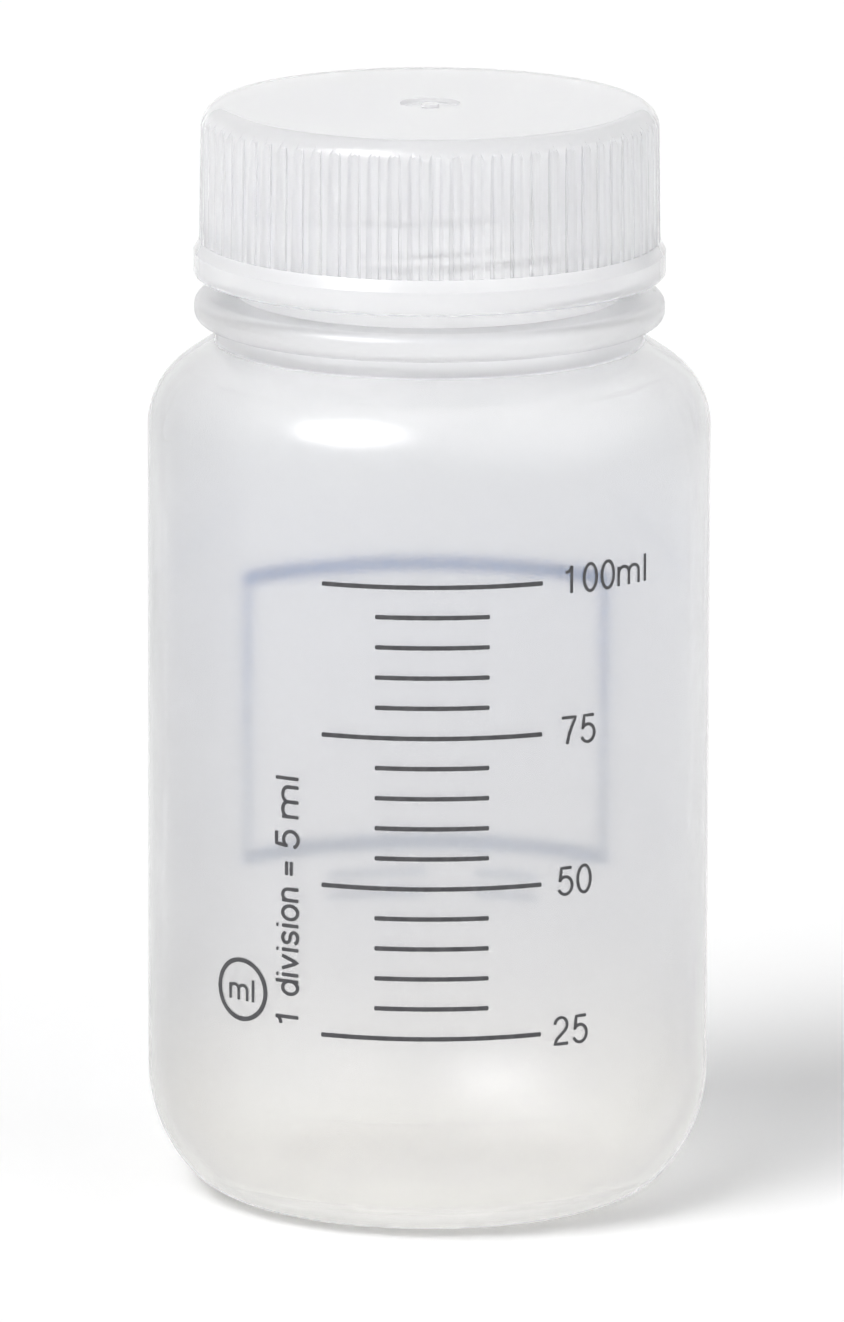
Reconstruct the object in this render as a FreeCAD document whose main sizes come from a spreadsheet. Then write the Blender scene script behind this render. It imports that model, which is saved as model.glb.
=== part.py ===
import FreeCAD, Part
import math
import os
import Sketcher

# A wide-mouth graduated plastic bottle with a screw cap.
# The origin is the middle of the base, where it stands; +Z is up the axis, and the scale faces -Y.

# Driving sizes, in millimetres, degrees and counts.
SIZES = {
    # Bottle body
    "body_diameter": 51.0,
    "wall": 1.5,
    "shoulder_height": 70.7,
    "shoulder_radius": 7.15,
    "shoulder_sweep": 56.0,
    "base_corner_width": 8.5,
    "base_corner_height": 11.4,
    "base_corner_radius": 6.8,
    "base_ring_width": 3.5,
    "base_push_up": 2.2,
    # Neck
    "neck_wall": 1.5,
    "neck_height": 14.6,
    "rim_rounding": 0.4,
    "collar_step": 1.8,
    "collar_height": 1.6,
    "flange_projection": 2.0,
    "flange_thickness": 2.6,
    "flange_rounding": 1.1,
    # Screw thread, right-handed, one start
    "thread_diameter": 37.4,
    "thread_depth": 1.2,
    "thread_pitch": 4.233,
    "thread_turns": 2.0,
    "thread_width": 2.2,
    "thread_flank": 30.0,
    "thread_drop": 1.6,
    "thread_root": 0.3,
    "thread_clearance": 0.3,
    "flank_clearance": 0.2,
    # Screw cap
    "cap_gap": 1.7,
    "cap_wall": 1.4,
    "cap_top_wall": 1.5,
    "cap_draft": 0.13,
    "cap_edge_rounding": 1.6,
    "cap_lead_in": 0.6,
    "cap_thread_width": 2.0,
    "cap_thread_turns": 1.75,
    "cap_thread_lift": 1.9,
    "ring_projection": 0.5,
    "ring_height": 2.2,
    "ring_taper": 1.05,
    "ring_rounding": 0.4,
    "rib_count": 70,
    "rib_depth": 0.45,
    "rib_groove_radius": 0.8,
    "gate_radius": 2.8,
    "gate_depth": 0.4,
    "gate_slope": 0.4,
    "gate_nub_radius": 0.8,
    "gate_nub_height": 0.35,
    # Cap liner
    "liner_thickness": 0.8,
    "liner_gap": 0.1,
    "liner_side_gap": 0.35,
    # Printed scale and write-on frame
    "ink_thickness": 0.08,
    "ink_gap": 0.05,
    "scale_first_height": 19.5,
    "scale_step": 2.76,
    "scale_count": 16,
    "scale_line": 0.38,
    "scale_shift": 0.33,
    "scale_long": 19.8,
    "scale_short": 10.0,
    "frame_low": 26.6,
    "frame_height": 26.3,
    "frame_width": 32.2,
    "frame_line": 0.8,
    "frame_bar": 1.3,
}

# Every fifth scale line, counted from the lowest, is a long one.
LONG_LINE_EVERY = 5

# Radii and heights that follow from the driving sizes.
DERIVED = {
    "body_radius": "body_diameter / 2",
    "inner_radius": "body_radius - wall",
    # Base: a standing ring round a pushed-up dome, and a corner of two arcs that meet smoothly
    "base_ring_outer": "body_radius - base_corner_width",
    "base_ring_inner": "base_ring_outer - base_ring_width",
    "dome_radius": "(base_ring_inner ^ 2 + base_push_up ^ 2) / (2 * base_push_up)",
    "floor_crown": "base_push_up + wall",
    "corner_low": "min(base_corner_radius; 0.9 * base_corner_width; 0.9 * base_corner_height)",
    "corner_high": "(base_corner_width ^ 2 + base_corner_height ^ 2 - 2 * base_corner_height * corner_low)"
                   " / (2 * (base_corner_width - corner_low))",
    "corner_cosine": "(corner_high - base_corner_width) / (corner_high - corner_low)",
    "corner_sine": "sqrt(1 - corner_cosine ^ 2)",
    "corner_join_radius": "base_ring_outer + corner_low * corner_cosine",
    "corner_join_height": "corner_low * (1 - corner_sine)",
    "inner_corner_low": "corner_low - wall",
    "inner_corner_high": "corner_high - wall",
    "inner_join_radius": "base_ring_outer + inner_corner_low * corner_cosine",
    "inner_join_height": "corner_low - inner_corner_low * corner_sine",
    # Neck radii, from the thread inwards and outwards
    "thread_crest": "thread_diameter / 2",
    "neck_radius": "thread_crest - thread_depth",
    "bore_radius": "neck_radius - neck_wall",
    "collar_radius": "neck_radius + collar_step",
    "flange_radius": "collar_radius + flange_projection",
    "flange_edge": "min(flange_rounding; 0.45 * flange_thickness)",
    # Shoulder: an arc from the wall, then a cone on the same tangent up to the collar
    "shoulder_rise": "sin(shoulder_sweep)",
    "shoulder_run": "1 - cos(shoulder_sweep)",
    "shoulder_slope": "1 / tan(shoulder_sweep)",
    "shoulder_arc": "min(shoulder_radius; 0.9 * (body_radius - collar_radius) / shoulder_run)",
    "inner_shoulder_arc": "shoulder_arc - wall",
    "cone_radius": "body_radius - shoulder_arc * shoulder_run",
    "cone_height": "shoulder_height + shoulder_arc * shoulder_rise",
    "inner_cone_radius": "inner_radius - inner_shoulder_arc * shoulder_run",
    "inner_cone_height": "shoulder_height + inner_shoulder_arc * shoulder_rise",
    "collar_low": "cone_height + (cone_radius - collar_radius) * shoulder_slope",
    "bore_low": "inner_cone_height + (inner_cone_radius - bore_radius) * shoulder_slope",
    # Neck heights
    "flange_low": "collar_low + collar_height",
    "flange_high": "flange_low + flange_thickness",
    "flange_inset": "flange_radius - flange_edge",
    "flange_edge_low": "flange_low + flange_edge",
    "flange_edge_high": "flange_high - flange_edge",
    "rim_height": "flange_high + neck_height",
    "rim_edge": "min(rim_rounding; 0.4 * neck_wall)",
    "rim_edge_height": "rim_height - rim_edge",
    "rim_outer": "neck_radius - rim_edge",
    "rim_inner": "bore_radius + rim_edge",
    # Neck thread, drawn where it starts; its root is sunk into the wall
    "flank_slope": "tan(thread_flank)",
    "thread_sunk": "neck_radius - thread_root",
    "thread_start": "rim_height - thread_drop - thread_turns * thread_pitch",
    "thread_half": "thread_width / 2 + thread_root * flank_slope",
    "thread_tip": "thread_width / 2 - thread_depth * flank_slope",
    "thread_root_low": "thread_start - thread_half",
    "thread_tip_low": "thread_start - thread_tip",
    "thread_tip_high": "thread_start + thread_tip",
    "thread_root_high": "thread_start + thread_half",
    # Liner and cap heights, stacked on the rim
    "liner_low": "rim_height + liner_gap",
    "cap_ceiling": "liner_low + liner_thickness + liner_gap",
    "cap_high": "cap_ceiling + cap_top_wall",
    "cap_low": "flange_high + cap_gap",
    # Cap radii, from the neck thread outwards
    "cap_bore": "thread_crest + thread_clearance",
    "cap_thread_crest": "neck_radius + thread_clearance",
    "liner_radius": "cap_bore - liner_side_gap",
    "skirt_radius": "cap_bore + cap_wall + rib_depth",
    "skirt_top_radius": "skirt_radius - cap_draft",
    "ring_radius": "skirt_radius + ring_projection",
    "ring_high": "cap_low + ring_height",
    "skirt_low": "ring_high + ring_taper",
    "ring_edge_radius": "ring_radius - ring_rounding",
    "ring_edge_height": "cap_low + ring_rounding",
    "lead_radius": "cap_bore + cap_lead_in",
    "lead_height": "cap_low + cap_lead_in",
    "cap_edge_radius": "skirt_top_radius - cap_edge_rounding",
    "cap_edge_height": "cap_high - cap_edge_rounding",
    "rib_centre": "skirt_radius - rib_depth + rib_groove_radius",
    "rib_length": "cap_high - skirt_low",
    # Moulding gate in the middle of the cap's top
    "gate_floor_radius": "gate_radius - gate_slope",
    "gate_floor": "cap_high - gate_depth",
    "gate_nub_top": "gate_floor + gate_nub_height",
    # Cap thread, under the neck thread by half of both ridges and the flank clearance
    "cap_thread_drop": "(thread_width + cap_thread_width) / 2"
                       " - (thread_depth + thread_clearance) * flank_slope"
                       " + flank_clearance / cos(thread_flank)",
    "cap_thread_sunk": "cap_bore + thread_root",
    "cap_thread_start": "cap_low + cap_thread_lift",
    "cap_thread_half": "cap_thread_width / 2 + thread_root * flank_slope",
    "cap_thread_tip": "cap_thread_width / 2 - thread_depth * flank_slope",
    "cap_thread_root_low": "cap_thread_start - cap_thread_half",
    "cap_thread_tip_low": "cap_thread_start - cap_thread_tip",
    "cap_thread_tip_high": "cap_thread_start + cap_thread_tip",
    "cap_thread_root_high": "cap_thread_start + cap_thread_half",
    # The angle the cap stands at when its thread meets the neck's
    "cap_angle": "360 * (cap_thread_start + cap_thread_drop - thread_start) / thread_pitch",
    # Print
    "ink_inner": "body_radius + ink_gap",
    "ink_radius": "ink_inner + ink_thickness",
    "frame_inner_width": "frame_width - 2 * frame_line",
    "frame_inner_height": "frame_height - 2 * frame_bar",
}

doc = FreeCAD.newDocument("GraduatedBottle")
sheet = doc.addObject("Spreadsheet::Sheet", "Sizes")


def fill_sheet():
    """Write the driving sizes as plain numbers and the derived ones as formulas, each with an alias."""
    cells = {alias: str(number) for alias, number in SIZES.items()}
    cells.update({alias: "=" + formula for alias, formula in DERIVED.items()})
    for row, (alias, content) in enumerate(cells.items(), start=1):
        sheet.set("A%d" % row, alias)
        sheet.set("B%d" % row, content)
        sheet.setAlias("B%d" % row, alias)
    doc.recompute()


def size(alias):
    """A size as the sheet holds it."""
    return float(sheet.get(alias))


def bind(thing, prop, formula):
    """Tie a property or a sketch dimension to the sheet."""
    thing.setExpression(prop, formula)


# Bodies and sketches

def new_body(label):
    body = doc.addObject("PartDesign::Body", label)
    body.Label = label
    return body


def new_sketch(body, name, role):
    """A sketch on one of the body's own origin planes."""
    sketch = body.newObject("Sketcher::SketchObject", name)
    plane = next(item for item in body.Origin.OriginFeatures if item.Role == role)
    sketch.AttachmentSupport = (plane, "")
    sketch.MapMode = "FlatFace"
    return sketch


def dimension(sketch, kind, *arguments, alias):
    """Add a dimension that the sheet drives."""
    index = sketch.addConstraint(Sketcher.Constraint(kind, *arguments, size(alias)))
    bind(sketch, "Constraints[%d]" % index, "Sizes." + alias)


ON_AXIS = ON_FLOOR = None
LEFT, RIGHT = 1, -1
# The numbers Sketcher gives to a curve's points and to its own two axes
START, END, MIDDLE = range(1, 4)
FLOOR_LINE, AXIS_LINE = range(-1, -3, -1)
ORIGIN = (FLOOR_LINE, START)


def corner_point(corner):
    radius, height = corner[:2]
    return FreeCAD.Vector(size(radius) if radius else 0, size(height) if height else 0, 0)


def arc_between(start, end, radius, side):
    """The short arc from start to end that bends to the given side."""
    chord = end - start
    inward = FreeCAD.Vector(-chord.y, chord.x, 0).normalize() * side
    centre = (start + end) / 2 + inward * math.sqrt(radius ** 2 - (chord.Length / 2) ** 2)
    first, last = (start, end) if side == LEFT else (end, start)
    angles = [math.atan2((point - centre).y, (point - centre).x) for point in (first, last)]
    circle = Part.Circle(centre, FreeCAD.Vector(0, 0, 1), radius)
    return Part.ArcOfCircle(circle, angles[0], angles[1])


def draw_outline(sketch, corners):
    """Close an outline through corners named by the sheet.

    A corner is (radius, height), and the leg to the next corner is straight, or
    (radius, height, arc radius, side) where that leg is an arc bending to the side.
    """
    legs = []
    for corner, following in zip(corners, corners[1:] + corners[:1]):
        start, end = corner_point(corner), corner_point(following)
        if len(corner) == 2:
            index = sketch.addGeometry(Part.LineSegment(start, end))
            legs.append((index, START, END))
            continue
        arc_radius, side = corner[2:]
        index = sketch.addGeometry(arc_between(start, end, size(arc_radius), side))
        legs.append((index, START, END) if side == LEFT else (index, END, START))
        dimension(sketch, "Radius", index, alias=arc_radius)
    for before, leg, corner in zip(legs[-1:] + legs[:-1], legs, corners):
        point = (leg[0], leg[1])
        sketch.addConstraint(Sketcher.Constraint("Coincident", before[0], before[2], *point))
        radius, height = corner[:2]
        for kind, zero_line, alias in (("DistanceX", AXIS_LINE, radius), ("DistanceY", FLOOR_LINE, height)):
            if alias:
                dimension(sketch, kind, *ORIGIN, *point, alias=alias)
            else:
                sketch.addConstraint(Sketcher.Constraint("PointOnObject", *point, zero_line))


def revolve(body, name, corners):
    """Turn a half section about the axis."""
    sketch = new_sketch(body, name + "_section", "XZ_Plane")
    draw_outline(sketch, corners)
    turned = body.newObject("PartDesign::Revolution", name)
    turned.Profile = sketch
    turned.ReferenceAxis = (sketch, ["V_Axis"])
    turned.Angle = 360
    doc.recompute()


def screw_ridge(body, name, corners, turns):
    """Sweep a thread's section up a right-handed helix."""
    sketch = new_sketch(body, name + "_section", "XZ_Plane")
    draw_outline(sketch, corners)
    helix = body.newObject("PartDesign::AdditiveHelix", name)
    helix.Profile = sketch
    helix.ReferenceAxis = (sketch, ["V_Axis"])
    helix.Mode = "pitch-turns-angle"
    helix.LeftHanded = False
    bind(helix, "Pitch", "Sizes.thread_pitch")
    bind(helix, "Turns", "Sizes." + turns)
    doc.recompute()


# The bottle: one moulded piece from the standing ring to the rim

def make_bottle():
    body = new_body("bottle")
    revolve(body, "bottle_shell", [
        (ON_AXIS, "base_push_up", "dome_radius", RIGHT),
        ("base_ring_inner", ON_FLOOR),
        ("base_ring_outer", ON_FLOOR, "corner_low", LEFT),
        ("corner_join_radius", "corner_join_height", "corner_high", LEFT),
        ("body_radius", "base_corner_height"),
        ("body_radius", "shoulder_height", "shoulder_arc", LEFT),
        ("cone_radius", "cone_height"),
        ("collar_radius", "collar_low"),
        ("collar_radius", "flange_low"),
        ("flange_inset", "flange_low", "flange_edge", LEFT),
        ("flange_radius", "flange_edge_low"),
        ("flange_radius", "flange_edge_high", "flange_edge", LEFT),
        ("flange_inset", "flange_high"),
        ("neck_radius", "flange_high"),
        ("neck_radius", "rim_edge_height", "rim_edge", LEFT),
        ("rim_outer", "rim_height"),
        ("rim_inner", "rim_height", "rim_edge", LEFT),
        ("bore_radius", "rim_edge_height"),
        ("bore_radius", "bore_low"),
        ("inner_cone_radius", "inner_cone_height", "inner_shoulder_arc", RIGHT),
        ("inner_radius", "shoulder_height"),
        ("inner_radius", "base_corner_height", "inner_corner_high", RIGHT),
        ("inner_join_radius", "inner_join_height", "inner_corner_low", RIGHT),
        ("base_ring_outer", "wall"),
        ("base_ring_inner", "wall", "dome_radius", LEFT),
        (ON_AXIS, "floor_crown"),
    ])
    screw_ridge(body, "neck_thread", [
        ("thread_sunk", "thread_root_low"),
        ("thread_crest", "thread_tip_low"),
        ("thread_crest", "thread_tip_high"),
        ("thread_sunk", "thread_root_high"),
    ], "thread_turns")
    return body


# The screw cap: a ribbed skirt on a plain flared ring, with the mating thread inside

def cut_rib_grooves(body):
    """Cut one scallop down the skirt from the top, and repeat it round the axis."""
    sketch = new_sketch(body, "rib_groove_section", "XY_Plane")
    bind(sketch, "AttachmentOffset.Base.z", "Sizes.cap_high")
    centre = FreeCAD.Vector(size("rib_centre"), 0, 0)
    circle = sketch.addGeometry(Part.Circle(centre, FreeCAD.Vector(0, 0, 1), size("rib_groove_radius")))
    middle = (circle, MIDDLE)
    dimension(sketch, "Radius", circle, alias="rib_groove_radius")
    dimension(sketch, "DistanceX", *ORIGIN, *middle, alias="rib_centre")
    sketch.addConstraint(Sketcher.Constraint("PointOnObject", *middle, FLOOR_LINE))
    groove = body.newObject("PartDesign::Pocket", "rib_groove")
    groove.Profile = sketch
    bind(groove, "Length", "Sizes.rib_length")
    doc.recompute()
    ribs = body.newObject("PartDesign::PolarPattern", "ribs")
    ribs.Originals = [groove]
    ribs.Axis = (sketch, ["N_Axis"])
    ribs.Angle = 360
    bind(ribs, "Occurrences", "Sizes.rib_count")
    body.Tip = ribs
    doc.recompute()


def make_cap():
    body = new_body("screw_cap")
    revolve(body, "cap_shell", [
        (ON_AXIS, "cap_ceiling"),
        ("cap_bore", "cap_ceiling"),
        ("cap_bore", "lead_height"),
        ("lead_radius", "cap_low"),
        ("ring_edge_radius", "cap_low", "ring_rounding", LEFT),
        ("ring_radius", "ring_edge_height"),
        ("ring_radius", "ring_high"),
        ("skirt_radius", "skirt_low"),
        ("skirt_top_radius", "cap_edge_height", "cap_edge_rounding", LEFT),
        ("cap_edge_radius", "cap_high"),
        ("gate_radius", "cap_high"),
        ("gate_floor_radius", "gate_floor"),
        ("gate_nub_radius", "gate_floor"),
        ("gate_nub_radius", "gate_nub_top"),
        (ON_AXIS, "gate_nub_top"),
    ])
    cut_rib_grooves(body)
    screw_ridge(body, "cap_thread", [
        ("cap_thread_crest", "cap_thread_tip_low"),
        ("cap_thread_sunk", "cap_thread_root_low"),
        ("cap_thread_sunk", "cap_thread_root_high"),
        ("cap_thread_crest", "cap_thread_tip_high"),
    ], "cap_thread_turns")
    body.Placement = FreeCAD.Placement(FreeCAD.Vector(), FreeCAD.Rotation(FreeCAD.Vector(0, 0, 1), 1))
    bind(body, "Placement.Rotation.Angle", "Sizes.cap_angle")
    return body


# The sealing liner: a loose disc between the rim and the cap's ceiling

def make_liner():
    liner = doc.addObject("Part::Cylinder", "cap_liner")
    liner.Label = "cap_liner"
    bind(liner, "Radius", "Sizes.liner_radius")
    bind(liner, "Height", "Sizes.liner_thickness")
    bind(liner, "Placement.Base.z", "Sizes.liner_low")
    return liner


# The print: thin curved bars on the outside of the wall

def new_box(name, width, height, low, middle="0", back=False):
    """A box across the wall, on the front half or the back half of the body."""
    box = doc.addObject("Part::Box", name)
    bind(box, "Length", width)
    bind(box, "Height", height)
    bind(box, "Width", "Sizes.body_diameter")
    bind(box, "Placement.Base.x", "%s - (%s) / 2" % (middle, width))
    bind(box, "Placement.Base.y", "0" if back else "-Sizes.body_diameter")
    bind(box, "Placement.Base.z", low)
    return box


def make_ink_sleeve(name):
    """A film of ink all round, just clear of the straight wall, to be trimmed to what is printed."""
    rounds = []
    for suffix, radius in (("outside", "ink_radius"), ("inside", "ink_inner")):
        cylinder = doc.addObject("Part::Cylinder", "%s_%s" % (name, suffix))
        bind(cylinder, "Radius", "Sizes." + radius)
        bind(cylinder, "Height", "Sizes.shoulder_height")
        rounds.append(cylinder)
    sleeve = doc.addObject("Part::Cut", name)
    sleeve.Base, sleeve.Tool = rounds
    return sleeve


def trim(label, sleeve, shape):
    """The part of the ink sleeve that lies inside a shape."""
    print_layer = doc.addObject("Part::Common", label)
    print_layer.Label = label
    print_layer.Base = sleeve
    print_layer.Tool = shape
    return print_layer


def make_graduation_lines():
    bars = []
    for count in range(int(size("scale_count"))):
        length = "Sizes.scale_short" if count % LONG_LINE_EVERY else "Sizes.scale_long"
        low = "Sizes.scale_first_height + %d * Sizes.scale_step - Sizes.scale_line / 2" % count
        bars.append(new_box("scale_bar_%d" % count, length, "Sizes.scale_line", low, "Sizes.scale_shift"))
    comb = doc.addObject("Part::Compound", "scale_bars")
    comb.Links = bars
    return trim("graduation_lines", make_ink_sleeve("scale_ink"), comb)


def make_label_frame():
    outer = new_box("frame_outer", "Sizes.frame_width", "Sizes.frame_height", "Sizes.frame_low", back=True)
    low = "Sizes.frame_low + Sizes.frame_bar"
    inner = new_box("frame_inner", "Sizes.frame_inner_width", "Sizes.frame_inner_height", low, back=True)
    border = doc.addObject("Part::Cut", "frame_border")
    border.Base = outer
    border.Tool = inner
    return trim("label_frame", make_ink_sleeve("frame_ink"), border)


def check(parts):
    """Stop if anything in the document failed or a piece has no good solid."""
    for item in doc.Objects:
        if "Invalid" in item.State or "Error" in item.State:
            raise RuntimeError("%s did not build: %s" % (item.Name, item.State))
    for part in parts:
        if part.Shape.isNull() or not part.Shape.isValid() or not part.Shape.Solids:
            raise RuntimeError("%s has no valid solid" % part.Label)


fill_sheet()
pieces = [make_bottle(), make_cap(), make_liner(), make_graduation_lines(), make_label_frame()]
doc.recompute()
check(pieces)
os.makedirs("parts", exist_ok=True)
for piece in pieces:
    piece.Shape.exportStep("parts/%s.step" % piece.Label)
    print("%s: %.1f mm3, %d solid(s)" % (piece.Label, piece.Shape.Volume, len(piece.Shape.Solids)))
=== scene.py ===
import math

import bpy
from mathutils import Matrix, Vector, noise


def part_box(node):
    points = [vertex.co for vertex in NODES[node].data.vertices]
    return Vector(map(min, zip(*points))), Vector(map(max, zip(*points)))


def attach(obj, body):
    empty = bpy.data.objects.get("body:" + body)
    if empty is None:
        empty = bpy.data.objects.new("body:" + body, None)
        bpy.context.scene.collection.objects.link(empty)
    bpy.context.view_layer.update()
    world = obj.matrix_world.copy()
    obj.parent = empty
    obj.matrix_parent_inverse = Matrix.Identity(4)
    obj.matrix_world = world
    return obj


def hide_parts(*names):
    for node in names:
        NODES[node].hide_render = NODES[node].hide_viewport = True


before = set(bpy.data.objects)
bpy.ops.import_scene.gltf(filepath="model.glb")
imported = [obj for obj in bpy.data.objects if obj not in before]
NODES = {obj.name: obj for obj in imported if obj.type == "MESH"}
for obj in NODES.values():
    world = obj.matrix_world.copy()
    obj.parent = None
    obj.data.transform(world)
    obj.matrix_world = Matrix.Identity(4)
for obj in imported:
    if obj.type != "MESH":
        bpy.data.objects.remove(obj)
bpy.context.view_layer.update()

# Looks of a wide-mouth graduated plastic bottle with a screw cap.
# Metres, in the CAD frame: the base is at z = 0, +Z is up, and the scale faces -Y.

MM = 0.001

# Places read from the frame
WALL_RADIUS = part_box("bottle")[1].x
SCALE_LOW, SCALE_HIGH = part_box("graduation_lines")

# Print: ribbons of ink on the outside of the wall
INK_LIFT = 0.05 * MM
INK_THICKNESS = 0.06 * MM
SCALE_COUNT = 16
LONG_LINE_EVERY = 5
LINE_WIDTH = 0.40 * MM
LONG_LINE = 20.0 * MM
SHORT_LINE = 10.1 * MM
NUMBER_HEIGHT = 2.38 * MM
NUMBER_STROKE = 0.28 * MM
NUMBER_START = 11.75 * MM
NUMBER_LEAN = 0.025
NUMBER_GAP = 0.25
NUMBER_DROP = 0.46
FIGURES = (0, "25"), (5, "50"), (10, "75"), (15, "100ml")
LEGEND = "1 division = 5 ml"
LEGEND_HEIGHT = 2.2 * MM
LEGEND_STROKE = 0.32 * MM
LEGEND_ACROSS = -12.1 * MM
LEGEND_LOW = 20.2 * MM
LEGEND_LENGTH = 22.6 * MM
LEGEND_GAP = 0.2
UNIT_ACROSS = -18.2 * MM
UNIT_HEIGHT = 22.6 * MM
UNIT_RING_RADIUS = 2.72 * MM
UNIT_RING_STROKE = 0.42 * MM
UNIT_LETTERS = 1.9 * MM
FRAME_WIDTH = 35.2 * MM
FRAME_LOW = 25.65 * MM
FRAME_HIGH = 53.3 * MM
FRAME_SHIFT = -0.33 * MM
FRAME_BAR = 1.3 * MM
FRAME_LINE = 0.8 * MM
FRAME_LINE_INSET = 1.15 * FRAME_BAR
BACK_BARS = ((-5.0 * MM, 9.6 * MM), (7.7 * MM, 6.2 * MM))
BACK_BAR_HEIGHTS = 23.4 * MM, 21.4 * MM
BACK_BAR_STROKE = 0.5 * MM

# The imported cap, in millimetres: its skirt, the round grooves in it and its top edge
RIB_COUNT = 70
SKIRT_RISE = 3.25
SKIRT_RADII = 20.85, 20.72
GROOVE_ROUND = 0.8
GROOVE_MIDDLE = 21.2
GROOVE_ROOT = GROOVE_MIDDLE - GROOVE_ROUND
EDGE_ROUND = 1.6
GATE_REACH = 0.9

# What takes their place, in millimetres: pointed ribs, a rounder top edge and a shallower gate mark
RIB_DEPTH = 0.26
RIB_LAND = 0.15
TOP_ROUND = 2.2
TOP_RISE = 0.2
GATE_SHARE = 0.7
SHARP_ANGLE = math.radians(25)

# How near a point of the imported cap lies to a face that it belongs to, in millimetres
NEAR_FACE = 0.01
NEAR_GROOVE = 0.003
NEAR_EDGE = 0.001

# Camera, from the photograph: 844 by 1322 pixels
PHOTO_HEIGHT = 1322
CAMERA_DISTANCE = 1.4
CAMERA_ELEVATION = math.radians(12.2)
CAMERA_TARGET = Vector((0, 0, 48 * MM))
CAMERA_RIGHT = -0.6 * MM
CAMERA_UP = 0.68 * MM
CAMERA_ROLL = math.radians(0.16)
FOCAL_PIXELS = 15400
SENSOR = 36.0

# Light
KEY_AZIMUTH = math.radians(-45)
KEY_ELEVATION = math.radians(50)
KEY_CORE = math.radians(16), 0.28
KEY_HALO = math.radians(36), 2.0
TOP_AZIMUTH = math.radians(180)
TOP_ELEVATION = math.radians(80)
TOP = math.radians(50), 0.3
FILL_AZIMUTH = math.radians(58)
FILL_ELEVATION = math.radians(35)
FILL = math.radians(75), 0.9
SKY_STRENGTH = 0.24
FLOOR_RADIUS = 4.0
FLOOR_SIDES = 96
FLOOR_DROP = 0.02 * MM
FLOOR_WHITE = 0.95
FLOOR_GLOW = 0.02
CLEAR_BOUNCES = 64
DULL_BOUNCES = 24


# Node helpers

def new_material(name):
    material = bpy.data.materials.new(name)
    material.use_nodes = True
    tree = material.node_tree
    return material, tree, tree.nodes["Principled BSDF"]


def add_node(tree, kind, **settings):
    node = tree.nodes.new(kind)
    for key, setting in settings.items():
        setattr(node, key, setting)
    return node


def add_noise(tree, scale, detail=3.0, roughness=0.55):
    """Noise over object space, in cycles per metre."""
    place = add_node(tree, "ShaderNodeTexCoord")
    cloud = add_node(tree, "ShaderNodeTexNoise")
    cloud.inputs["Scale"].default_value = scale
    cloud.inputs["Detail"].default_value = detail
    cloud.inputs["Roughness"].default_value = roughness
    tree.links.new(place.outputs["Object"], cloud.inputs["Vector"])
    return cloud.outputs["Fac"]


def add_ramp(tree, factor, low, high, low_at=0.3, high_at=0.7):
    """A colour that goes from low to high as the factor rises."""
    ramp = add_node(tree, "ShaderNodeValToRGB")
    first, last = ramp.color_ramp.elements
    first.position, first.color = low_at, (*low, 1)
    last.position, last.color = high_at, (*high, 1)
    tree.links.new(factor, ramp.inputs["Fac"])
    return ramp.outputs["Color"]


def add_range(tree, factor, low, high):
    """A number that goes from low to high as the factor rises."""
    ranged = add_node(tree, "ShaderNodeMapRange")
    ranged.inputs["To Min"].default_value = low
    ranged.inputs["To Max"].default_value = high
    tree.links.new(factor, ranged.inputs["Value"])
    return ranged.outputs["Result"]


def add_bump(tree, height, distance, strength=1.0, below=None):
    bump = add_node(tree, "ShaderNodeBump")
    bump.inputs["Strength"].default_value = strength
    bump.inputs["Distance"].default_value = distance
    tree.links.new(height, bump.inputs["Height"])
    if below is not None:
        tree.links.new(below, bump.inputs["Normal"])
    return bump.outputs["Normal"]


def add_height_tint(tree, tints, sway=0.05):
    """A colour for each height in millimetres, whose levels may sway up and down."""
    place = add_node(tree, "ShaderNodeTexCoord")
    split = add_node(tree, "ShaderNodeSeparateXYZ")
    tree.links.new(place.outputs["Object"], split.inputs[0])
    top = tints[-1][0]
    level = add_node(tree, "ShaderNodeMapRange")
    level.inputs["From Max"].default_value = top * MM
    tree.links.new(split.outputs["Z"], level.inputs["Value"])
    drift = add_range(tree, add_noise(tree, 70), -sway, sway)
    swayed = add_node(tree, "ShaderNodeMath", operation="ADD")
    tree.links.new(level.outputs["Result"], swayed.inputs[0])
    tree.links.new(drift, swayed.inputs[1])
    ramp = add_node(tree, "ShaderNodeValToRGB")
    steps = ramp.color_ramp.elements
    steps[0].color = (*tints[0][1], 1)
    steps[1].color = (*tints[-1][1], 1)
    for height, colour in tints[1:-1]:
        steps.new(height / top).color = (*colour, 1)
    tree.links.new(swayed.outputs[0], ramp.inputs["Fac"])
    return ramp.outputs["Color"]


def add_across(tree, first, last, axis="X"):
    """A number that changes along an axis, from (millimetres, value) to (millimetres, value)."""
    place = add_node(tree, "ShaderNodeTexCoord")
    split = add_node(tree, "ShaderNodeSeparateXYZ")
    tree.links.new(place.outputs["Object"], split.inputs[0])
    level = add_node(tree, "ShaderNodeMapRange")
    for socket, number in zip(("From Min", "From Max", "To Min", "To Max"),
                              (first[0] * MM, last[0] * MM, first[1], last[1])):
        level.inputs[socket].default_value = number
    tree.links.new(split.outputs[axis], level.inputs["Value"])
    return level.outputs["Result"]


# Materials

PLASTIC_IOR = 1.49

# Tints at each height in millimetres, matched to the photograph: the plastic's own tint with painted light
# and shade in it, lighter and warmer at the base, darker low on the body and lighter again from the collar
# up
BOTTLE_TINT_AND_PAINTED_LIGHT = (
    (0, (0.985, 0.975, 0.950)),
    (10, (0.935, 0.927, 0.910)),
    (20, (0.862, 0.862, 0.870)),
    (60, (0.885, 0.890, 0.910)),
    (72, (0.905, 0.910, 0.920)),
    (78, (0.982, 0.982, 0.988)),
    (100, (0.985, 0.985, 0.990)),
)
# Painted shade along the left edge, where the photograph is darker: (millimetres across, share of the tint)
LEFT_EDGE_PAINTED_SHADE = (-25.5, 0.90), (-16.0, 1.0)

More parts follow.
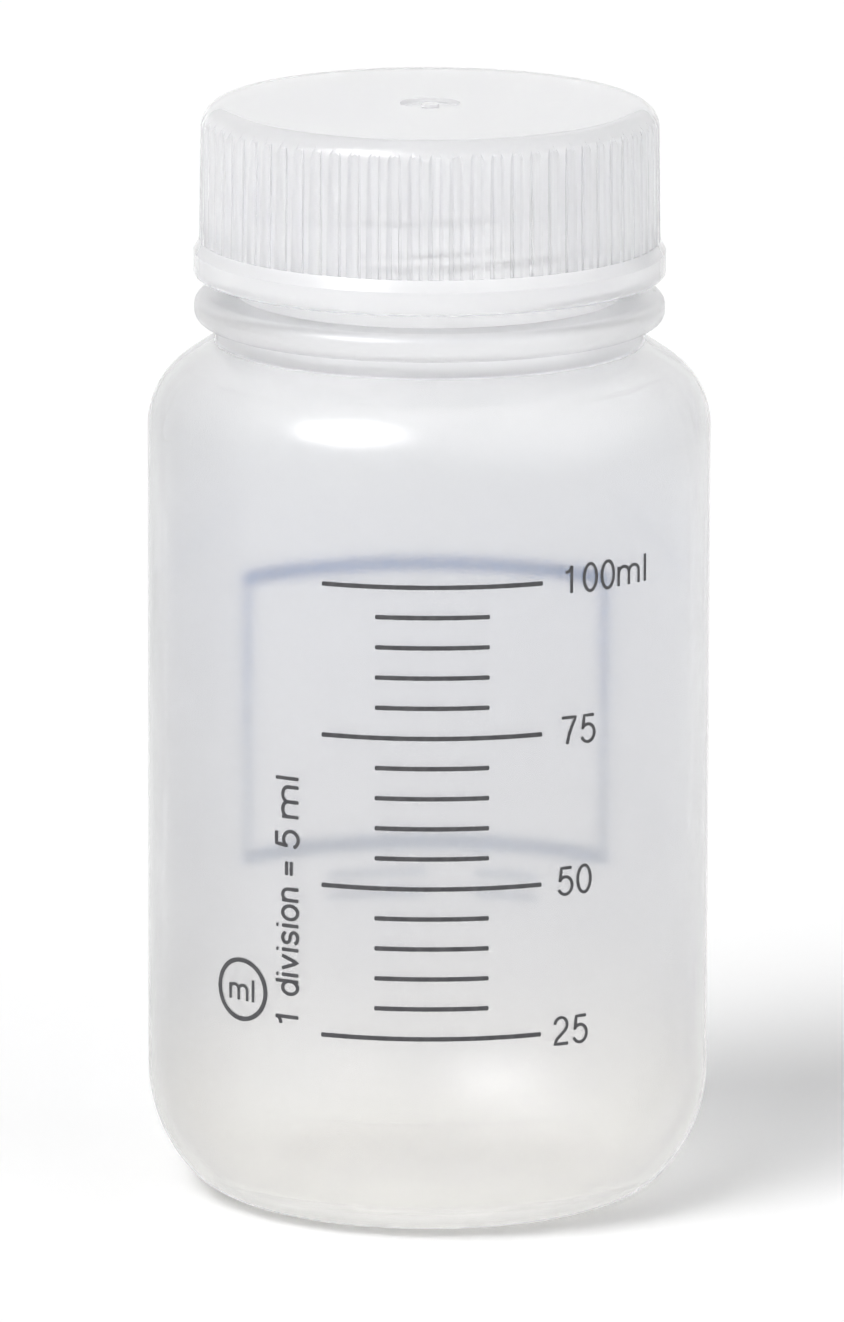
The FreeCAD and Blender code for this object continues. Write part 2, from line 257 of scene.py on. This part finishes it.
# Roughness at each height in millimetres, with its only sharp step where the collar starts
BOTTLE_ROUGHNESS = tuple((height, (rough, rough, rough)) for height, rough in (
    (0, 0.24),
    (14, 0.24),
    (28, 0.11),
    (66, 0.11),
    (72, 0.20),
    (78.4, 0.22),
    (78.8, 0.36),
    (100, 0.36),
))
BOTTLE_CLEARNESS = 0.90
BOTTLE_COAT = 0.6
BOTTLE_COAT_ROUGHNESS = 0.3
BOTTLE_SHINE = 0.25

CAP_TINTS = (0.986, 0.988, 0.996), (0.994, 0.995, 1.0)
CAP_ROUGHNESS = 0.15, 0.22
CAP_CLEARNESS = 0.64

FOAM_TINTS = (0.86, 0.86, 0.87), (0.93, 0.93, 0.93)

# Ink where its film is thin and where it is full, and how much paler it turns towards the bottom: (height
# in millimetres, loss)
SCALE_INK = (0.085, 0.085, 0.09), (0.045, 0.045, 0.05)
FRAME_INK = (0.62, 0.72, 0.88), (0.05, 0.26, 0.70)
FRAME_FADE = (25.0, 0.52), (53.0, -0.30)
SCALE_FILM = 1200
FRAME_FILM = 1500


def bottle_plastic():
    """Milky, mostly clear plastic with a finely grained skin, whose tint carries painted light and shade by
    height and painted shade along the left edge.
    """
    material, tree, shader = new_material("bottle_plastic")
    # Painted shade and light: the tint darkens towards the left edge and goes lighter or darker by height
    painted_shade = add_across(tree, *LEFT_EDGE_PAINTED_SHADE)
    tint = add_node(tree, "ShaderNodeVectorMath", operation="SCALE")
    tree.links.new(add_height_tint(tree, BOTTLE_TINT_AND_PAINTED_LIGHT), tint.inputs[0])
    tree.links.new(painted_shade, tint.inputs["Scale"])
    tree.links.new(tint.outputs[0], shader.inputs["Base Color"])
    grain = add_range(tree, add_noise(tree, 900), 0.9, 1.1)
    skin = add_node(tree, "ShaderNodeMath", operation="MULTIPLY")
    tree.links.new(add_height_tint(tree, BOTTLE_ROUGHNESS, 0.0), skin.inputs[0])
    tree.links.new(grain, skin.inputs[1])
    tree.links.new(skin.outputs[0], shader.inputs["Roughness"])
    shader.inputs["Coat Weight"].default_value = BOTTLE_COAT
    shader.inputs["Coat Roughness"].default_value = BOTTLE_COAT_ROUGHNESS
    shader.inputs["Specular IOR Level"].default_value = BOTTLE_SHINE
    sway = add_bump(tree, add_noise(tree, 60, 1.0), 0.1 * MM, 1.0)
    grain = add_bump(tree, add_noise(tree, 4200, 2.0), 0.006 * MM, 0.5, sway)
    tree.links.new(grain, shader.inputs["Normal"])
    shader.inputs["IOR"].default_value = PLASTIC_IOR
    shader.inputs["Transmission Weight"].default_value = BOTTLE_CLEARNESS
    return material


def cap_plastic():
    """Whiter and less clear plastic than the bottle's."""
    material, tree, shader = new_material("cap_plastic")
    cloud = add_noise(tree, 90)
    tint = add_ramp(tree, cloud, *CAP_TINTS)
    tree.links.new(tint, shader.inputs["Base Color"])
    tree.links.new(add_range(tree, add_noise(tree, 700), *CAP_ROUGHNESS), shader.inputs["Roughness"])
    tree.links.new(add_bump(tree, add_noise(tree, 3000, 2.0), 0.004 * MM, 0.4), shader.inputs["Normal"])
    shader.inputs["IOR"].default_value = PLASTIC_IOR
    shader.inputs["Transmission Weight"].default_value = CAP_CLEARNESS
    return material


def liner_foam():
    """Closed-cell foam sheet."""
    material, tree, shader = new_material("liner_foam")
    cells = add_noise(tree, 2500, 2.0)
    tree.links.new(add_ramp(tree, cells, *FOAM_TINTS), shader.inputs["Base Color"])
    tree.links.new(add_range(tree, cells, 0.55, 0.75), shader.inputs["Roughness"])
    tree.links.new(add_bump(tree, cells, 0.03 * MM, 0.5), shader.inputs["Normal"])
    return material


def printed_ink(name, thin, full, scale, fade=None):
    """Printed ink with a slightly uneven film, which may fade between two heights."""
    material, tree, shader = new_material(name)
    film = add_noise(tree, scale, 4.0, 0.65)
    if fade is not None:
        loss = add_node(tree, "ShaderNodeMath", operation="ADD")
        tree.links.new(film, loss.inputs[0])
        tree.links.new(add_across(tree, *fade, axis="Z"), loss.inputs[1])
        film = loss.outputs[0]
    tree.links.new(add_ramp(tree, film, full, thin, 0.35, 0.75), shader.inputs["Base Color"])
    tree.links.new(add_range(tree, film, 0.38, 0.55), shader.inputs["Roughness"])
    tree.links.new(add_bump(tree, film, 0.01 * MM, 0.4), shader.inputs["Normal"])
    return material


# Printed strokes

ARC_STEP = 12.0
STROKE_STEP = 0.35 * MM
STROKE_UNEVENNESS = 0.10
STROKE_WOBBLE = 1800


def arc(middle, radii, start, end):
    """Points on an ellipse from one angle to another, in degrees."""
    count = max(2, round(abs(end - start) / ARC_STEP))
    turns = [math.radians(start + (end - start) * index / count) for index in range(count + 1)]
    return [
        (middle[0] + radii[0] * math.cos(turn), middle[1] + radii[1] * math.sin(turn))
        for turn in turns
    ]


def arch(left, width, height):
    """A letter's arch from its stem over and down to the line."""
    half = width / 2
    return arc((left + half, height - 0.24), (half, 0.24), 180, 0) + [(left + width, 0)]


# Each glyph is its width and its strokes, where 1 is the height of a digit.
LOW_CASE = 0.70
GLYPHS = {
    "0": (0.57, [arc((0.285, 0.5), (0.285, 0.52), 90, 450)]),
    "1": (0.52, [[(0.22, 0), (0.22, 1)], arc((-0.02, 1.0), (0.23, 0.21), 0, -88)]),
    "2": (0.57, [
        arc((0.285, 0.73), (0.26, 0.29), 168, -22) + [(0.45, 0.50), (0.12, 0.20), (0.02, 0.0), (0.57, 0.0)],
    ]),
    "5": (0.59, [[(0.54, 1), (0.13, 1), (0.07, 0.48)] + arc((0.295, 0.32), (0.295, 0.34), 138, -152)]),
    "7": (0.57, [[(0, 1), (0.57, 1), (0.41, 0.66), (0.29, 0.36), (0.21, 0)]]),
    "m": (1.14, [[(0, 0), (0, LOW_CASE)], arch(0, 0.53, LOW_CASE), arch(0.53, 0.53, LOW_CASE)]),
    "n": (0.40, [[(0, 0), (0, LOW_CASE)], arch(0, 0.40, LOW_CASE)]),
    "l": (0.06, [[(0.03, 0), (0.03, 1)]]),
    "i": (0.06, [[(0.03, 0), (0.03, LOW_CASE)], [(0.03, 0.93), (0.03, 0.97)]]),
    "d": (0.46, [[(0.46, 0), (0.46, 1)], arc((0.23, 0.35), (0.23, 0.35), 0, 360)]),
    "o": (0.48, [arc((0.24, 0.35), (0.24, 0.35), 90, 450)]),
    "s": (0.40, [arc((0.20, 0.525), (0.18, 0.175), 20, 270) + arc((0.20, 0.175), (0.20, 0.175), 90, -160)]),
    "v": (0.44, [[(0, LOW_CASE), (0.22, 0), (0.44, LOW_CASE)]]),
    "=": (0.44, [[(0, 0.30), (0.44, 0.30)], [(0, 0.52), (0.44, 0.52)]]),
    " ": (0.12, []),
}


def set_text(text, gap):
    """The strokes of a line of text, and the line's width."""
    strokes, across = [], 0.0
    for letter in text:
        width, lines = GLYPHS[letter]
        strokes += [[(x + across, y) for x, y in line] for line in lines]
        across += width + gap
    return strokes, across - gap


def refine(points, longest):
    """The same line with no leg longer than a given length."""
    fine = [points[0]]
    for start, end in zip(points, points[1:]):
        count = max(1, math.ceil((end - start).length / longest))
        fine += [start.lerp(end, index / count) for index in range(1, count + 1)]
    return fine


# A stroke's blunt end: (way out past its last point, share of its width), both against half the width
BLUNT_END = ((0.22, 0.92), (0.38, 0.70), (0.45, 0.30))


def ribbon(points, width):
    """Left and right edges of a stroke with blunt ends, drawn on the unrolled wall."""
    points = refine(points, STROKE_STEP)
    half = width / 2
    closed = (points[0] - points[-1]).length < 1e-7
    edges = []
    for index, point in enumerate(points):
        before = points[index - 1] if index else (points[-2] if closed else point)
        after = points[index + 1] if index + 1 < len(points) else (points[1] if closed else point)
        along = (after - before).normalized()
        wobble = noise.noise(Vector((point.x, point.y, 0)) * STROKE_WOBBLE)
        unevenness = 1 + STROKE_UNEVENNESS * wobble
        edges.append((point, along, half * unevenness))
    if not closed:
        first, last = edges[0], edges[-1]
        start = [(first[0] - first[1] * half * out, first[1], half * share) for out, share in BLUNT_END]
        end = [(last[0] + last[1] * half * out, last[1], half * share) for out, share in BLUNT_END]
        edges = start[::-1] + edges + end
    sides = []
    for point, along, reach in edges:
        aside = Vector((-along.y, along.x)) * reach
        sides.append((point + aside, point - aside))
    return sides, closed


def on_wall(point, lift, facing):
    """Wrap a point of the unrolled print round the wall; facing is -1 for the front and 1 for the back."""
    radius = WALL_RADIUS + lift
    turn = point.x / WALL_RADIUS
    return Vector((radius * math.sin(turn) * -facing, radius * math.cos(turn) * facing, point.y))


def print_strokes(name, strokes, width, facing=-1):
    """One closed thin ribbon of ink for each stroke."""
    verts, faces = [], []
    for stroke in strokes:
        sides, closed = ribbon(stroke, width)
        first = len(verts)
        for left, right in sides:
            for lift in (INK_LIFT, INK_LIFT + INK_THICKNESS):
                verts += [on_wall(left, lift, facing), on_wall(right, lift, facing)]
        rows = len(sides) - 1
        for row in range(rows):
            a, b = first + 4 * row, first + 4 * (row + 1)
            faces += [
                (a, a + 1, b + 1, b),
                (a + 2, b + 2, b + 3, a + 3),
                (a, b, b + 2, a + 2),
                (a + 1, a + 3, b + 3, b + 1),
            ]
        if not closed:
            last = first + 4 * rows
            faces += [(first, first + 2, first + 3, first + 1), (last, last + 1, last + 3, last + 2)]
    mesh = bpy.data.meshes.new(name)
    mesh.from_pydata(verts, [], faces)
    mesh.validate()
    piece = bpy.data.objects.new(name, mesh)
    bpy.context.scene.collection.objects.link(piece)
    return piece


def finish_piece(piece, material, body="bottle"):
    piece.data.materials.clear()
    piece.data.materials.append(material)
    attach(piece, body)
    return piece


def print_scale(ink):
    """The graduation lines, with the blunt ends and uneven edges of a print."""
    middle = (SCALE_LOW.x + SCALE_HIGH.x) / 2
    low = SCALE_LOW.z + LINE_WIDTH / 2
    step = (SCALE_HIGH.z - SCALE_LOW.z - LINE_WIDTH) / (SCALE_COUNT - 1)
    strokes = []
    for index in range(SCALE_COUNT):
        half = (SHORT_LINE if index % LONG_LINE_EVERY else LONG_LINE) / 2
        height = low + index * step
        strokes.append([Vector((middle - half, height)), Vector((middle + half, height))])
    lines = finish_piece(print_strokes("scale_lines", strokes, LINE_WIDTH), ink)
    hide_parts("graduation_lines")
    return low, step


def print_numbers(ink, low, step):
    """The figure at each long line."""
    strokes = []
    for index, text in FIGURES:
        lines = set_text(text, NUMBER_GAP)[0]
        base = low + index * step - NUMBER_HEIGHT * NUMBER_DROP
        start = NUMBER_START + NUMBER_LEAN * index * step
        for line in lines:
            strokes.append([Vector((start + x * NUMBER_HEIGHT, base + y * NUMBER_HEIGHT)) for x, y in line])
    finish_piece(print_strokes("scale_numbers", strokes, NUMBER_STROKE), ink)


def print_legend(ink):
    """A plain line of words that reads upwards beside the scale."""
    lines, width = set_text(LEGEND, LEGEND_GAP)
    stretch = LEGEND_LENGTH / width
    strokes = [
        [Vector((LEGEND_ACROSS - y * LEGEND_HEIGHT, LEGEND_LOW + x * stretch)) for x, y in line]
        for line in lines
    ]
    finish_piece(print_strokes("scale_legend", strokes, LEGEND_STROKE), ink)


def print_unit_mark(ink):
    """A plain ring round the scale's unit, at the left of the front."""
    lines, width = set_text("ml", NUMBER_GAP)
    left = UNIT_ACROSS - width / 2 * UNIT_LETTERS
    low = UNIT_HEIGHT - UNIT_LETTERS / 2
    letters = [
        [Vector((left + x * UNIT_LETTERS, low + y * UNIT_LETTERS)) for x, y in line]
        for line in lines
    ]
    finish_piece(print_strokes("unit_letters", letters, NUMBER_STROKE), ink)
    middle = (UNIT_ACROSS, UNIT_HEIGHT)
    ring = [Vector(point) for point in arc(middle, (UNIT_RING_RADIUS, UNIT_RING_RADIUS), 0, 360)]
    finish_piece(print_strokes("unit_ring", [ring], UNIT_RING_STROKE), ink)


def print_frame(ink):
    """The write-on frame on the back: two bars and two thinner lines between them."""
    half = math.asin((FRAME_WIDTH / 2) / WALL_RADIUS) * WALL_RADIUS
    left, right = -FRAME_SHIFT - half, -FRAME_SHIFT + half
    bars = [
        [Vector((left, height)), Vector((right, height))]
        for height in (FRAME_LOW + FRAME_BAR / 2, FRAME_HIGH - FRAME_BAR / 2)
    ]
    lines = [
        [Vector((across, FRAME_LOW + FRAME_LINE_INSET)), Vector((across, FRAME_HIGH - FRAME_LINE_INSET))]
        for across in (left + FRAME_LINE / 2, right - FRAME_LINE / 2)
    ]
    border = finish_piece(print_strokes("frame_bars", bars, FRAME_BAR, facing=1), ink)
    finish_piece(print_strokes("frame_lines", lines, FRAME_LINE, facing=1), ink)
    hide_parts("label_frame")


def print_back_bars(ink):
    """Two rows of plain bars under the write-on frame, on the back."""
    bars = [
        [Vector((-across - length / 2, height)), Vector((-across + length / 2, height))]
        for across, length in BACK_BARS
        for height in BACK_BAR_HEIGHTS
    ]
    finish_piece(print_strokes("back_bars", bars, BACK_BAR_STROKE, facing=1), ink)


# Cap

def round_groove_half(radius):
    """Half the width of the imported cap's round groove where it meets a radius, in millimetres."""
    along = (radius ** 2 - GROOVE_ROUND ** 2 + GROOVE_MIDDLE ** 2) / (2 * GROOVE_MIDDLE)
    return math.sqrt(radius ** 2 - along ** 2)


def carve_point(point, phase, skirt_low, skirt_high):
    """Move one point of the cap, in millimetres, to the pointed ribs and the rounder top edge."""
    radius = math.hypot(point.x, point.y)
    inner = SKIRT_RADII[1] - EDGE_ROUND
    top = skirt_high + EDGE_ROUND
    if radius < inner - NEAR_FACE and point.z > top - GATE_REACH:
        return Vector((point.x, point.y, top + TOP_RISE - GATE_SHARE * (top - point.z)))
    if radius < inner - NEAR_FACE or point.z < skirt_low - NEAR_FACE:
        return point
    pitch = 2 * math.pi / RIB_COUNT
    turn = math.atan2(point.y, point.x)
    groove = phase + round((turn - phase) / pitch) * pitch
    along = radius * math.cos(turn - groove)
    across = radius * math.sin(turn - groove)
    part = min((point.z - skirt_low) / (skirt_high - skirt_low), 1.0)
    skirt = SKIRT_RADII[0] + (SKIRT_RADII[1] - SKIRT_RADII[0]) * part
    half = (SKIRT_RADII[0] * pitch - RIB_LAND) / 2
    height = point.z
    in_groove = abs(math.hypot(along - GROOVE_MIDDLE, across) - GROOVE_ROUND) < NEAR_GROOVE
    on_edge = point.z > skirt_high - NEAR_EDGE
    if in_groove:
        across *= half / round_groove_half(skirt)
    floor = skirt - RIB_DEPTH * max(1 - abs(across) / half, 0)
    edge_radius = SKIRT_RADII[1] - TOP_ROUND
    edge_height = top + TOP_RISE - TOP_ROUND
    if in_groove:
        radius = floor
        turn = groove + math.asin(across / radius)
        if on_edge:
            height = edge_height + math.sqrt(max(TOP_ROUND ** 2 - (radius - edge_radius) ** 2, 0))
    elif on_edge:
        lean = math.atan2(point.z - skirt_high, radius - inner)
        radius = min(edge_radius + TOP_ROUND * math.cos(lean), floor)
        height = edge_height + TOP_ROUND * math.sin(lean)
    return Vector((radius * math.cos(turn), radius * math.sin(turn), height))


def carve_cap(plastic):
    """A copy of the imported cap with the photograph's shallow pointed ribs and rounder top edge."""
    shape = NODES["screw_cap"].data.copy()
    low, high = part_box("screw_cap")
    skirt_low = low.z / MM + SKIRT_RISE
    skirt_high = high.z / MM - EDGE_ROUND
    points = [vertex.co / MM for vertex in shape.vertices]
    roots = [
        point for point in points
        if point.z > skirt_low - NEAR_FACE and abs(point.xy.length - GROOVE_ROOT) < NEAR_FACE
    ]
    turns = [math.atan2(point.y, point.x) * RIB_COUNT for point in roots]
    phase = math.atan2(sum(map(math.sin, turns)), sum(map(math.cos, turns))) / RIB_COUNT
    for vertex, point in zip(shape.vertices, points):
        vertex.co = carve_point(point, phase, skirt_low, skirt_high) * MM
    shape.attributes.remove(shape.attributes["custom_normal"])
    shape.set_sharp_from_angle(angle=SHARP_ANGLE)
    piece = bpy.data.objects.new("ribbed_cap", shape)
    bpy.context.scene.collection.objects.link(piece)
    finish_piece(piece, plastic, "cap")
    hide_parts("screw_cap")


# Stage

def add_sight(tree, rays, *flags):
    """1 for rays of the named kinds that have met no dull surface on their way from the camera."""
    total = rays[flags[0]]
    for flag in flags[1:]:
        larger = add_node(tree, "ShaderNodeMath", operation="MAXIMUM")
        tree.links.new(total, larger.inputs[0])
        tree.links.new(rays[flag], larger.inputs[1])
        total = larger.outputs[0]
    first = add_node(tree, "ShaderNodeMath", operation="LESS_THAN")
    tree.links.new(rays["Diffuse Depth"], first.inputs[0])
    first.inputs[1].default_value = 0.5
    both = add_node(tree, "ShaderNodeMath", operation="MULTIPLY")
    tree.links.new(total, both.inputs[0])
    tree.links.new(first.outputs[0], both.inputs[1])
    return both.outputs[0]


def add_mix(tree, factor, first, second, output):
    mix = add_node(tree, "ShaderNodeMixShader")
    tree.links.new(factor, mix.inputs["Fac"])
    tree.links.new(first.outputs[0], mix.inputs[1])
    tree.links.new(second.outputs[0], mix.inputs[2])
    tree.links.new(mix.outputs[0], output.inputs["Surface"])


def make_world():
    world = bpy.data.worlds.new("studio")
    bpy.context.scene.world = world
    world.use_nodes = True
    world.cycles.sampling_method = "NONE"
    tree = world.node_tree
    light = tree.nodes["Background"]
    light.inputs["Color"].default_value = (1, 1, 1, 1)
    light.inputs["Strength"].default_value = SKY_STRENGTH
    seen = add_node(tree, "ShaderNodeBackground")
    seen.inputs["Color"].default_value = (1, 1, 1, 1)
    seen.inputs["Strength"].default_value = 1.0
    rays = add_node(tree, "ShaderNodeLightPath").outputs
    sight = add_sight(tree, rays, "Is Camera Ray", "Is Glossy Ray", "Is Transmission Ray")
    add_mix(tree, sight, light, seen, tree.nodes["World Output"])


def make_floor():
    """A pale floor that reads white where nothing shades it."""
    mesh = bpy.data.meshes.new("floor")
    rim = [
        (FLOOR_RADIUS * math.cos(turn), FLOOR_RADIUS * math.sin(turn), -FLOOR_DROP)
        for turn in (math.tau * index / FLOOR_SIDES for index in range(FLOOR_SIDES))
    ]
    mesh.from_pydata(rim, [], [tuple(range(FLOOR_SIDES))])
    floor = bpy.data.objects.new("floor", mesh)
    bpy.context.scene.collection.objects.link(floor)
    material, tree, shader = new_material("floor_paper")
    material.cycles.emission_sampling = "NONE"
    tree.nodes.remove(shader)
    paper = add_node(tree, "ShaderNodeBsdfDiffuse")
    paper.inputs["Color"].default_value = (FLOOR_WHITE, FLOOR_WHITE, FLOOR_WHITE, 1)
    rays = add_node(tree, "ShaderNodeLightPath").outputs
    lift = add_node(tree, "ShaderNodeMath", operation="MULTIPLY")
    tree.links.new(rays["Is Camera Ray"], lift.inputs[0])
    lift.inputs[1].default_value = FLOOR_GLOW
    glow = add_node(tree, "ShaderNodeEmission")
    tree.links.new(lift.outputs[0], glow.inputs["Strength"])
    shaded = add_node(tree, "ShaderNodeAddShader")
    tree.links.new(paper.outputs[0], shaded.inputs[0])
    tree.links.new(glow.outputs[0], shaded.inputs[1])
    white = add_node(tree, "ShaderNodeEmission")
    through = add_sight(tree, rays, "Is Glossy Ray", "Is Transmission Ray")
    add_mix(tree, through, shaded, white, tree.nodes["Material Output"])
    mesh.materials.append(material)


def add_soft_light(name, azimuth, elevation, angle, strength):
    """A far soft light; azimuth 0 is in front of the scale, and a negative one is to its left."""
    light = bpy.data.lights.new(name, "SUN")
    light.energy = strength
    light.angle = angle
    lamp = bpy.data.objects.new(name, light)
    bpy.context.scene.collection.objects.link(lamp)
    towards = Vector((
        math.sin(azimuth) * math.cos(elevation),
        -math.cos(azimuth) * math.cos(elevation),
        math.sin(elevation),
    ))
    lamp.rotation_euler = towards.to_track_quat("Z", "Y").to_euler()
    return lamp


def make_lights():
    """A soft light high at the front left, brighter in its middle, one overhead and a fill at the right.

    The fill makes no reflections, because the photograph has no second highlight on the shoulder.
    """
    add_soft_light("key_core", KEY_AZIMUTH, KEY_ELEVATION, *KEY_CORE)
    add_soft_light("key_halo", KEY_AZIMUTH, KEY_ELEVATION, *KEY_HALO)
    add_soft_light("top", TOP_AZIMUTH, TOP_ELEVATION, *TOP)
    fill = add_soft_light("fill", FILL_AZIMUTH, FILL_ELEVATION, *FILL)
    fill.visible_glossy = False


def make_camera():
    """The photograph's long lens, a little above the bottle."""
    lens = bpy.data.cameras.new("camera")
    lens.sensor_width = SENSOR
    lens.lens = SENSOR * FOCAL_PIXELS / PHOTO_HEIGHT
    lens.clip_start = 0.05
    lens.clip_end = 20.0
    camera = bpy.data.objects.new("camera", lens)
    bpy.context.scene.collection.objects.link(camera)
    away = Vector((0, -math.cos(CAMERA_ELEVATION), math.sin(CAMERA_ELEVATION)))
    turn = away.to_track_quat("Z", "Y").to_matrix()
    right, up = turn.col[0], turn.col[1]
    place = CAMERA_TARGET + away * CAMERA_DISTANCE + right * CAMERA_RIGHT + up * CAMERA_UP
    roll = Matrix.Rotation(CAMERA_ROLL, 3, "Z")
    camera.matrix_world = Matrix.Translation(place) @ (turn @ roll).to_4x4()
    bpy.context.scene.camera = camera


def dress_nodes(cap, frame_ink):
    for name, material in (
        ("bottle", bottle_plastic()),
        ("screw_cap", cap),
        ("cap_liner", liner_foam()),
        ("label_frame", frame_ink),
    ):
        NODES[name].data.materials.clear()
        NODES[name].data.materials.append(material)


scene = bpy.context.scene
scene.view_settings.view_transform = "Standard"
scene.cycles.max_bounces = CLEAR_BOUNCES
scene.cycles.transmission_bounces = CLEAR_BOUNCES
scene.cycles.glossy_bounces = CLEAR_BOUNCES
scene.cycles.diffuse_bounces = DULL_BOUNCES
scene.cycles.blur_glossy = 0.0

frame_ink = printed_ink("frame_ink", *FRAME_INK, FRAME_FILM, FRAME_FADE)
cap = cap_plastic()
dress_nodes(cap, frame_ink)
carve_cap(cap)
scale_ink = printed_ink("scale_ink", *SCALE_INK, SCALE_FILM)
scale_low, scale_step = print_scale(scale_ink)
print_numbers(scale_ink, scale_low, scale_step)
print_legend(scale_ink)
print_unit_mark(scale_ink)
print_frame(frame_ink)
print_back_bars(frame_ink)
make_world()
make_floor()
make_lights()
make_camera()
